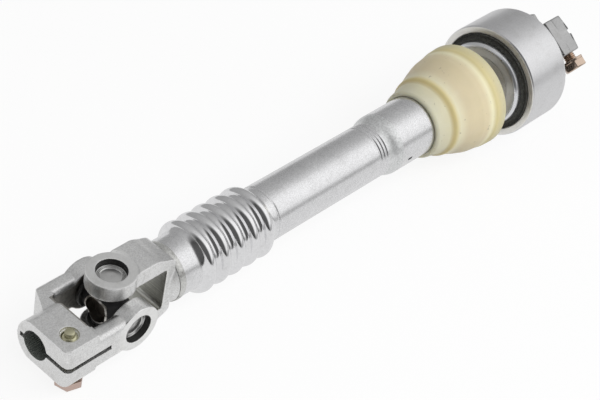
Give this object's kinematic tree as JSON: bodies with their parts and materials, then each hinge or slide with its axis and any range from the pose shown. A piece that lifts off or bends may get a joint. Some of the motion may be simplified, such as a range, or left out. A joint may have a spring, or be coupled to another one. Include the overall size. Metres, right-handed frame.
{
  "type": "steering universal joint",
  "caption": "Lower steering shaft with a universal joint and splined pinch clamp at each end, a corrugated crash tube, a bell boot and a rubber mounted ring.",
  "frame": {"origin": "centre of the front clamp bore at its mouth", "axes": "+X runs along the shaft to the rear clamp, +Z runs along the front pinch bolt and the front tube yoke's ears"},
  "size_m": [0.4243, 0.0708, 0.0708],
  "materials": {
    "forged_zinc_steel": "zinc plated forging, satin, fine grain",
    "bright_tube_steel": "bright zinc plated tube, soft brushed bands",
    "zinc_ring_steel": "satin zinc plate",
    "sleeve_steel": "blue grey zinc plate, bright lip",
    "weld_steel": "plated weld bead",
    "cup_steel": "drawn bearing steel",
    "roller_steel": "ground",
    "black_cross_steel": "black oxide",
    "seal_rubber": "matte",
    "black_ring_rubber": "fine grain, matte",
    "cream_boot_plastic": "translucent cream, soft sheen",
    "pink_copper_bolt_steel": "pink copper colour plating",
    "brown_copper_bolt_steel": "brown copper colour plating"
  },
  "bodies": {
    "shaft": {"front_tube_yoke": "forged_zinc_steel", "front_weld_bead": "weld_steel", "shaft_tube": "bright_tube_steel", "bell_boot": "cream_boot_plastic", "damper_inner_sleeve": "sleeve_steel", "damper_rubber_ring": "black_ring_rubber", "damper_outer_ring": "zinc_ring_steel", "rear_tube_yoke": "forged_zinc_steel", "rear_weld_bead": "weld_steel", "front_cup_top": "cup_steel", "front_cup_bottom": "cup_steel", "front_rollers_top": "roller_steel", "front_rollers_bottom": "roller_steel", "rear_cup_top": "cup_steel", "rear_cup_bottom": "cup_steel", "rear_rollers_top": "roller_steel", "rear_rollers_bottom": "roller_steel"},
    "front_cross_body": {"front_cross": "black_cross_steel", "front_seal_top": "seal_rubber", "front_seal_bottom": "seal_rubber", "front_seal_left": "seal_rubber", "front_seal_right": "seal_rubber"},
    "front_clamp_body": {"front_clamp_yoke": "forged_zinc_steel", "front_pinch_bolt": "pink_copper_bolt_steel", "front_cup_left": "cup_steel", "front_cup_right": "cup_steel", "front_rollers_left": "roller_steel", "front_rollers_right": "roller_steel"},
    "rear_cross_body": {"rear_cross": "black_cross_steel", "rear_seal_top": "seal_rubber", "rear_seal_bottom": "seal_rubber", "rear_seal_left": "seal_rubber", "rear_seal_right": "seal_rubber"},
    "rear_clamp_body": {"rear_clamp_yoke": "forged_zinc_steel", "rear_pinch_bolt": "brown_copper_bolt_steel", "rear_bolt_washer": "brown_copper_bolt_steel", "rear_cup_left": "cup_steel", "rear_cup_right": "cup_steel", "rear_rollers_left": "roller_steel", "rear_rollers_right": "roller_steel"}
  },
  "joints": [
    {"name": "front_cross_hinge", "type": "hinge", "parent": "shaft", "child": "front_cross_body", "pos_m": [0.0463, 0, 0], "axis": [0, 0, 1], "range_deg": [-30, 30]},
    {"name": "front_yoke_hinge", "type": "hinge", "parent": "front_cross_body", "child": "front_clamp_body", "pos_m": [0.0463, 0, 0], "axis": [0, 1, 0], "range_deg": [-30, 30]},
    {"name": "rear_cross_hinge", "type": "hinge", "parent": "shaft", "child": "rear_cross_body", "pos_m": [0.3833, 0, 0], "axis": [0, -0.5299, 0.848], "range_deg": [-20, 20]},
    {"name": "rear_yoke_hinge", "type": "hinge", "parent": "rear_cross_body", "child": "rear_clamp_body", "pos_m": [0.3833, 0, 0], "axis": [0, 0.848, 0.5299], "range_deg": [-20, 20]}
  ]
}
